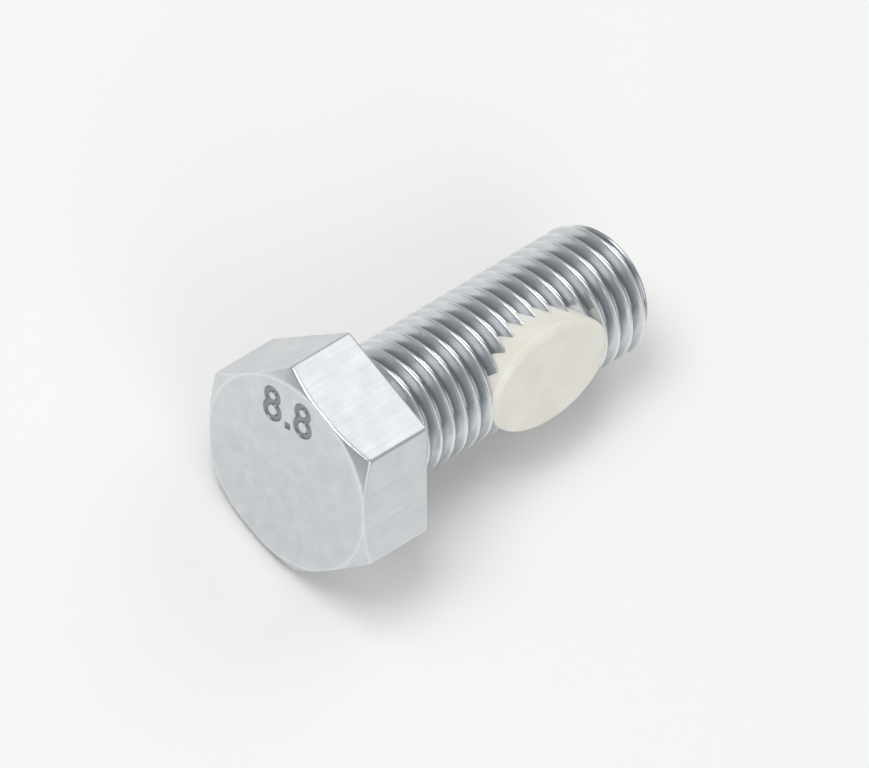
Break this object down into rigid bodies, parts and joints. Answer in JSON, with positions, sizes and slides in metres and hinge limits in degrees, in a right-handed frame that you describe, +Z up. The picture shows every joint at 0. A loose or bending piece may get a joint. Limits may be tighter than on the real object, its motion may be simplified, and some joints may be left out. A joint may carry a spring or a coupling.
{
  "type": "hex head set screw",
  "caption": "Fully threaded hexagon head set screw with an oval plastic locking patch set into the thread, lying as it rests on a flat surface.",
  "frame": {"origin": "on the surface that the screw lies on, below the centre of its bounding box", "axes": "+X along the screw, from its head towards the end of its shank, +Z up; the screw's own axis dips 6.02 degrees below +X, because the screw rests on the edge under its head and on the thread near its end"},
  "size_m": [0.0516, 0.0278, 0.0249],
  "materials": {
    "zinc_plated_steel": "clear zinc plating over forged and rolled steel, satin",
    "polyamide": "natural off-white polyamide, smooth and slightly waxy"
  },
  "bodies": {
    "root": {"screw": "zinc_plated_steel", "locking_patch": "polyamide"}
  },
  "joints": []
}
